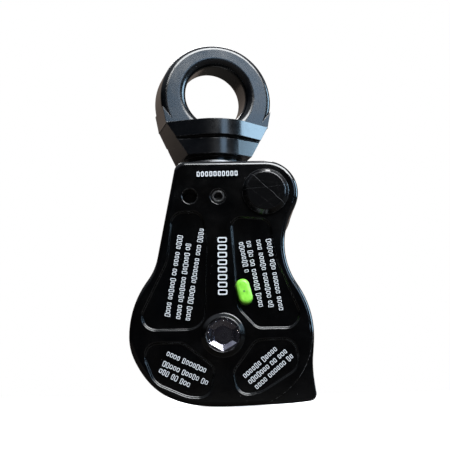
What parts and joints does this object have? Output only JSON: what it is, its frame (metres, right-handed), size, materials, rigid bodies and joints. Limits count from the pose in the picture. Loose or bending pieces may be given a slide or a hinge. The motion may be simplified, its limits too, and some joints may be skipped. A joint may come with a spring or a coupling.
{
  "type": "double sheave block",
  "caption": "Double sheave block with a swivel eye, a middle web and two swing-open side plates, each released by a push button.",
  "frame": {"origin": "centre of the sheave axle, on the block's middle plane", "axes": "+Z towards the swivel eye, +X towards the side plates' pivot bolt, +Y from the front side plate to the rear one"},
  "size_m": [0.0667, 0.0572, 0.1406],
  "materials": {
    "plate_black": "glossy black hard anodised",
    "frame_black": "satin black anodised",
    "eye_black": "satin bead-blasted black anodised",
    "pivot_black": "satin black with scratches",
    "button_green": "moulded lime green",
    "insert_steel": "bright turned",
    "spring_steel": "oiled",
    "sheave_aluminium": "turned",
    "cage_brass": "machined",
    "bearing_steel": "ground",
    "bush_bronze": "turned",
    "screw_black": "black oxide",
    "washer_grey": "satin grey",
    "plain_steel": "machined"
  },
  "bodies": {
    "frame": {"centre_frame": "frame_black", "sheave_axle": "insert_steel", "axle_rings": "spring_steel", "inner_spacers": "plain_steel", "outer_spacers": "plain_steel", "bearing_inner_race_front": "bearing_steel", "bearing_inner_race_rear": "bearing_steel", "pivot_bolt": "pivot_black", "pivot_nut": "pivot_black", "pivot_washers": "bush_bronze", "stop_pins": "plain_steel", "swivel_pin": "screw_black", "swivel_bush": "bush_bronze", "swivel_upper_race": "bearing_steel", "swivel_cap": "plain_steel"},
    "eye": {"swivel_eye": "eye_black", "swivel_lower_race": "bearing_steel", "swivel_nut": "plain_steel", "nut_roll_pin": "plain_steel", "swivel_washer": "washer_grey"},
    "swivel_ball_set": {"swivel_balls": "bearing_steel", "swivel_cage": "cage_brass"},
    "front_wheel": {"sheave_front": "sheave_aluminium", "bearing_outer_race_front": "bearing_steel", "sheave_ring_front": "spring_steel", "bearing_shields_front": "bearing_steel"},
    "front_ball_set": {"bearing_balls_front": "bearing_steel", "bearing_cage_front": "cage_brass"},
    "front_plate": {"side_plate_front": "plate_black", "pivot_bush_front": "bush_bronze", "axle_insert_front": "insert_steel", "lock_screw_front": "screw_black", "latch_cover_front": "plain_steel", "cover_screws_front": "plain_steel", "latch_spring_front": "spring_steel"},
    "front_button": {"release_button_front": "button_green"},
    "front_latch": {"latch_slider_front": "plain_steel"},
    "rear_wheel": {"sheave_rear": "sheave_aluminium", "bearing_outer_race_rear": "bearing_steel", "sheave_ring_rear": "spring_steel", "bearing_shields_rear": "bearing_steel"},
    "rear_ball_set": {"bearing_balls_rear": "bearing_steel", "bearing_cage_rear": "cage_brass"},
    "rear_plate": {"side_plate_rear": "plate_black", "pivot_bush_rear": "bush_bronze", "axle_insert_rear": "insert_steel", "lock_screw_rear": "screw_black", "latch_cover_rear": "plain_steel", "cover_screws_rear": "plain_steel", "latch_spring_rear": "spring_steel"},
    "rear_button": {"release_button_rear": "button_green"},
    "rear_latch": {"latch_slider_rear": "plain_steel"}
  },
  "joints": [
    {"name": "eye_swivel", "type": "hinge", "parent": "frame", "child": "eye", "pos_m": [-0.003, 0, 0.06], "axis": [0, 0, 1], "continuous": true},
    {"name": "swivel_ball_roll", "type": "hinge", "parent": "frame", "child": "swivel_ball_set", "pos_m": [-0.003, 0, 0.0434], "axis": [0, 0, 1], "continuous": true},
    {"name": "front_sheave_spin", "type": "hinge", "parent": "frame", "child": "front_wheel", "pos_m": [0, -0.0104, 0], "axis": [0, 1, 0], "continuous": true},
    {"name": "front_ball_roll", "type": "hinge", "parent": "frame", "child": "front_ball_set", "pos_m": [0, -0.0104, 0], "axis": [0, 1, 0], "continuous": true},
    {"name": "front_plate_swing", "type": "hinge", "parent": "frame", "child": "front_plate", "pos_m": [0.0163, -0.022, 0.052], "axis": [0, -1, 0], "range_deg": [0, 110]},
    {"name": "front_button_press", "type": "slide", "parent": "front_plate", "child": "front_button", "axis": [0, 1, 0], "range_m": [0, 0.0022]},
    {"name": "front_latch_slide", "type": "slide", "parent": "front_plate", "child": "front_latch", "axis": [0, 0, 1], "range_m": [0, 0.0022], "deforming": ["latch_spring_front"]},
    {"name": "rear_sheave_spin", "type": "hinge", "parent": "frame", "child": "rear_wheel", "pos_m": [0, 0.0104, 0], "axis": [0, 1, 0], "continuous": true},
    {"name": "rear_ball_roll", "type": "hinge", "parent": "frame", "child": "rear_ball_set", "pos_m": [0, 0.0104, 0], "axis": [0, 1, 0], "continuous": true},
    {"name": "rear_plate_swing", "type": "hinge", "parent": "frame", "child": "rear_plate", "pos_m": [0.0163, 0.022, 0.052], "axis": [0, -1, 0], "range_deg": [0, 110]},
    {"name": "rear_button_press", "type": "slide", "parent": "rear_plate", "child": "rear_button", "axis": [0, -1, 0], "range_m": [0, 0.0022]},
    {"name": "rear_latch_slide", "type": "slide", "parent": "rear_plate", "child": "rear_latch", "axis": [0, 0, 1], "range_m": [0, 0.0022], "deforming": ["latch_spring_rear"]}
  ],
  "couplings": [
    {"joint": "swivel_ball_roll", "follows": "eye_swivel", "ratio": 0.5},
    {"joint": "front_ball_roll", "follows": "front_sheave_spin", "ratio": 0.5907},
    {"joint": "front_latch_slide", "follows": "front_button_press", "ratio": 1},
    {"joint": "rear_ball_roll", "follows": "rear_sheave_spin", "ratio": 0.5907},
    {"joint": "rear_latch_slide", "follows": "rear_button_press", "ratio": 1}
  ]
}
